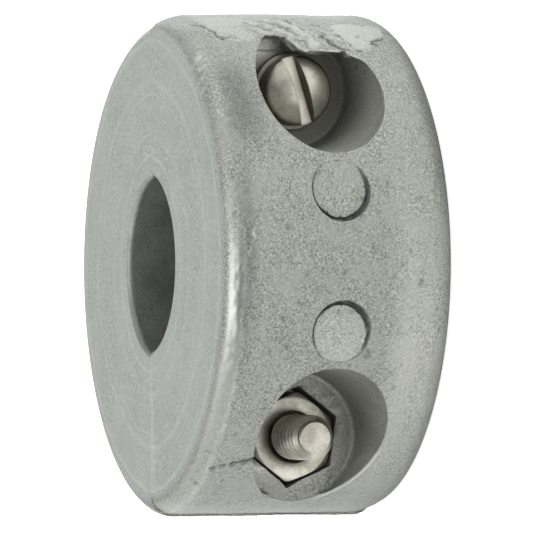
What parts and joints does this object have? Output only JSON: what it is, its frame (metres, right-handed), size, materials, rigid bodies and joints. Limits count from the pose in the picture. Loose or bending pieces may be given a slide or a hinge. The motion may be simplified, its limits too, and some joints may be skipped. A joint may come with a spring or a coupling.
{
  "type": "sacrificial anode",
  "caption": "Split zinc collar anode that clamps round a propeller shaft, with two cross screws sunk in cast pockets.",
  "frame": {"origin": "on the bore's axis, at the lower end face", "axes": "+Z along the bore; the halves part along Y; the screws lie along Y, one each side of the bore on X"},
  "size_m": [0.0542, 0.0504, 0.0254],
  "materials": {
    "zinc_casting": "bare cast zinc, pale grey, fine casting grain outside and lightly turned end faces",
    "stainless_steel": "plain stainless, satin, slightly warm"
  },
  "bodies": {
    "root": {"front_half": "zinc_casting", "rear_half": "zinc_casting", "front_screw": "stainless_steel", "rear_screw": "stainless_steel", "front_lock_washer": "stainless_steel", "rear_lock_washer": "stainless_steel", "front_nut": "stainless_steel", "rear_nut": "stainless_steel"}
  },
  "joints": []
}
